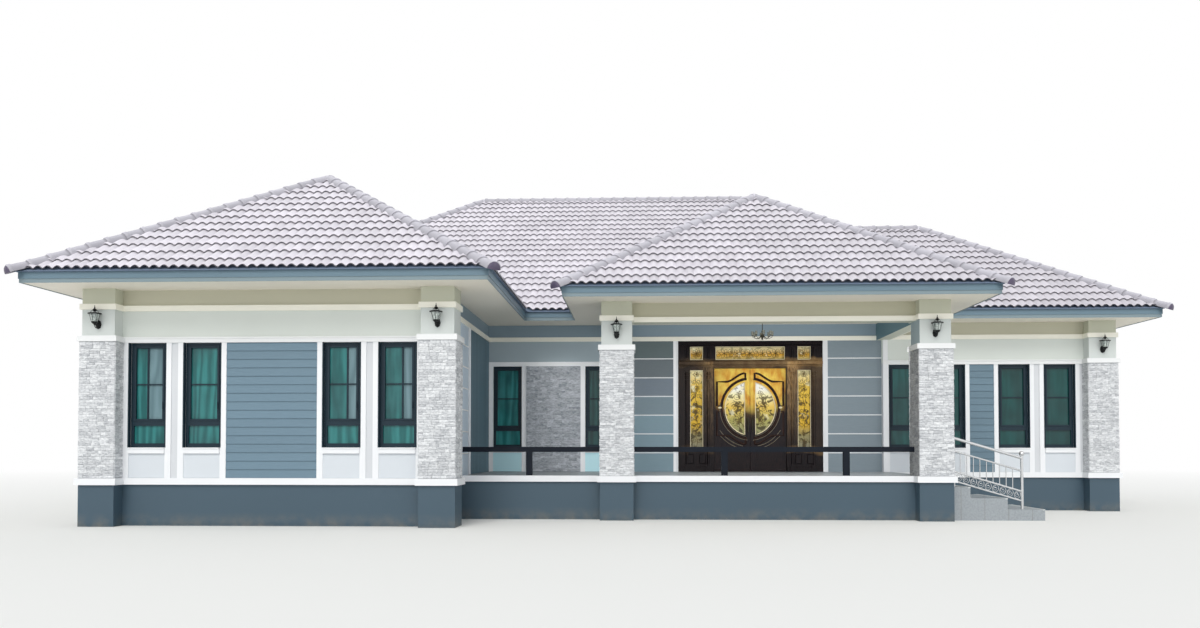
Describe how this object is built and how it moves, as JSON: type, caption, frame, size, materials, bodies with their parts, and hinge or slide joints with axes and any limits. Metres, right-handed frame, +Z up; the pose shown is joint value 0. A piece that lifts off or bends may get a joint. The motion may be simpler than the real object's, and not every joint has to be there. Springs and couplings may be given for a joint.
{
  "type": "bungalow",
  "caption": "Single storey bungalow with hipped tile roofs, a portico porch, stone columns, a carved double door and side steps.",
  "frame": {"origin": "on the ground plane, in the middle of the house in plan", "axes": "+X to the right seen from the front, -Y towards the front with the entrance, +Z up"},
  "size_m": [19.54, 15.68, 7.5988],
  "materials": {
    "plinth": "dark slate blue render",
    "floor": "tiled floor",
    "tile_grey": "grey floor tiles",
    "trim": "white painted moulding",
    "wall": "light grey painted render",
    "column_stone": "light grey ledge stone",
    "ceiling": "white plaster",
    "soffit": "cream painted boards",
    "fascia": "blue grey paint",
    "roof_tile": "lilac grey concrete tile",
    "cap_tile": "lilac grey concrete tile",
    "siding": "blue grey painted boards",
    "striped": "blue grey boards",
    "panel_stone": "grey stone cladding",
    "window_frame": "near black coating",
    "window_glass": "clear glass",
    "door_wood": "dark varnished hardwood",
    "door_glass": "patterned yellow glass",
    "brass": "polished",
    "rail_black": "black paint",
    "rail_steel": "brushed"
  },
  "bodies": {
    "house": {"plinth": "plinth", "floor_slab": "floor", "porch_floor": "tile_grey", "plinth_band": "trim", "steps": "tile_grey", "front_wall": "wall", "left_wall": "wall", "wing_inner_wall": "wall", "porch_wall": "wall", "door_head": "wall", "door_wall_right": "wall", "right_front_wall": "wall", "right_walls": "wall", "rear_wall": "wall", "columns": "column_stone", "portico_beams": "wall", "mouldings": "trim", "ceiling_slab": "ceiling", "soffit": "soffit", "fascia": "fascia", "main_roof": "roof_tile", "left_roof": "roof_tile", "portico_roof": "roof_tile", "right_roof": "roof_tile", "ridge_caps": "cap_tile", "wall_trims": "trim", "siding_panels": "siding", "striped_panels": "striped", "stone_panel": "panel_stone", "window_frames": "window_frame", "side_frames": "window_frame", "front_glass": "window_glass", "side_glass": "window_glass", "door_frame": "door_wood", "door_glass": "door_glass", "porch_rail": "rail_black", "stair_rail": "rail_steel", "wall_lanterns": "rail_black", "porch_lamp": "brass"},
    "door_leaf_left": {"door_leaf_left": "door_wood", "leaf_glass_left": "door_glass", "handle_left": "brass"},
    "door_leaf_right": {"door_leaf_right": "door_wood", "leaf_glass_right": "door_glass", "handle_right": "brass"}
  },
  "joints": [
    {"name": "left_leaf_hinge", "type": "hinge", "parent": "house", "child": "door_leaf_left", "pos_m": [1.231, -2.181, 0.776], "axis": [0, 0, 1], "range_deg": [0, 90]},
    {"name": "right_leaf_hinge", "type": "hinge", "parent": "house", "child": "door_leaf_right", "pos_m": [2.689, -2.181, 0.776], "axis": [0, 0, 1], "range_deg": [-90, 0]}
  ]
}
